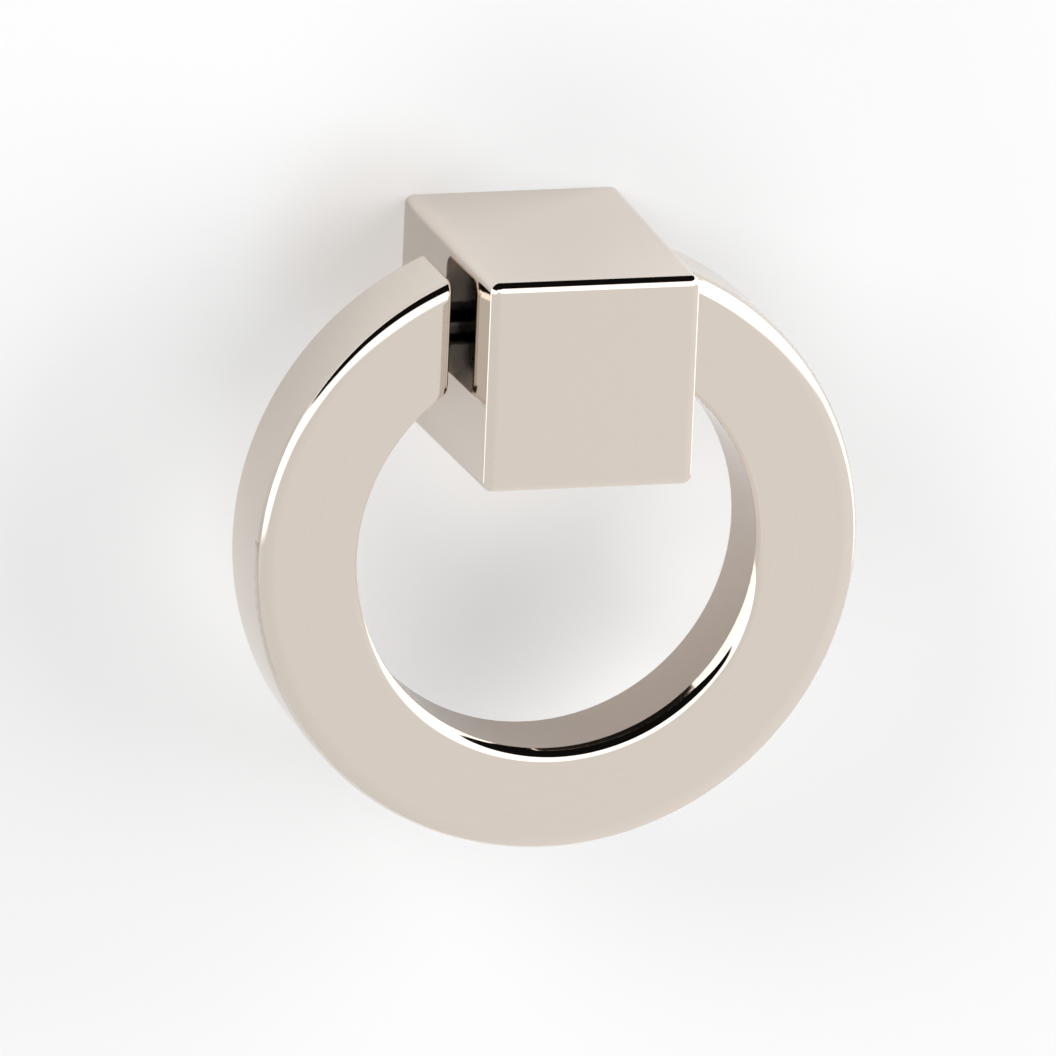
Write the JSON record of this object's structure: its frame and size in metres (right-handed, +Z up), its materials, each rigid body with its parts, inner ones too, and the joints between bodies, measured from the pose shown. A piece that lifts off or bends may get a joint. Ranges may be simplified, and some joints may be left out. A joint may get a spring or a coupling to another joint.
{
  "type": "ring pull handle",
  "caption": "Flat ring pull that swings on sprung pivot pins from a square projecting post, with a threaded hole in the post's back for a machine screw.",
  "frame": {"origin": "mouth of the screw hole, at the centre of the post's back face, on the surface that the handle is fixed to", "axes": "+Y into the drawer front along the screw hole's axis, +X to the right seen from the front, +Z up"},
  "size_m": [0.0508, 0.0254, 0.0509],
  "materials": {
    "polished_nickel": "polished nickel plate, mirror bright",
    "pin_steel": "ground steel",
    "spring_steel": "drawn spring wire"
  },
  "bodies": {
    "post": {"post": "polished_nickel", "pivot_spring": "spring_steel"},
    "ring": {"ring": "polished_nickel"},
    "left_pin": {"pivot_pin_left": "pin_steel"},
    "right_pin": {"pivot_pin_right": "pin_steel"}
  },
  "joints": [
    {"name": "ring_swing", "type": "hinge", "parent": "post", "child": "ring", "pos_m": [0, -0.01345, 0.0021], "axis": [-1, 0, 0], "range_deg": [-12.3, 192.3]},
    {"name": "left_pin_slide", "type": "slide", "parent": "post", "child": "left_pin", "axis": [1, 0, 0], "range_m": [0, 0.0039], "stiffness_N_per_m": 1690, "springref_m": -0.0013, "deforming": ["pivot_spring"]},
    {"name": "right_pin_slide", "type": "slide", "parent": "post", "child": "right_pin", "axis": [-1, 0, 0], "range_m": [0, 0.0039], "stiffness_N_per_m": 1690, "springref_m": -0.0013, "deforming": ["pivot_spring"]}
  ]
}
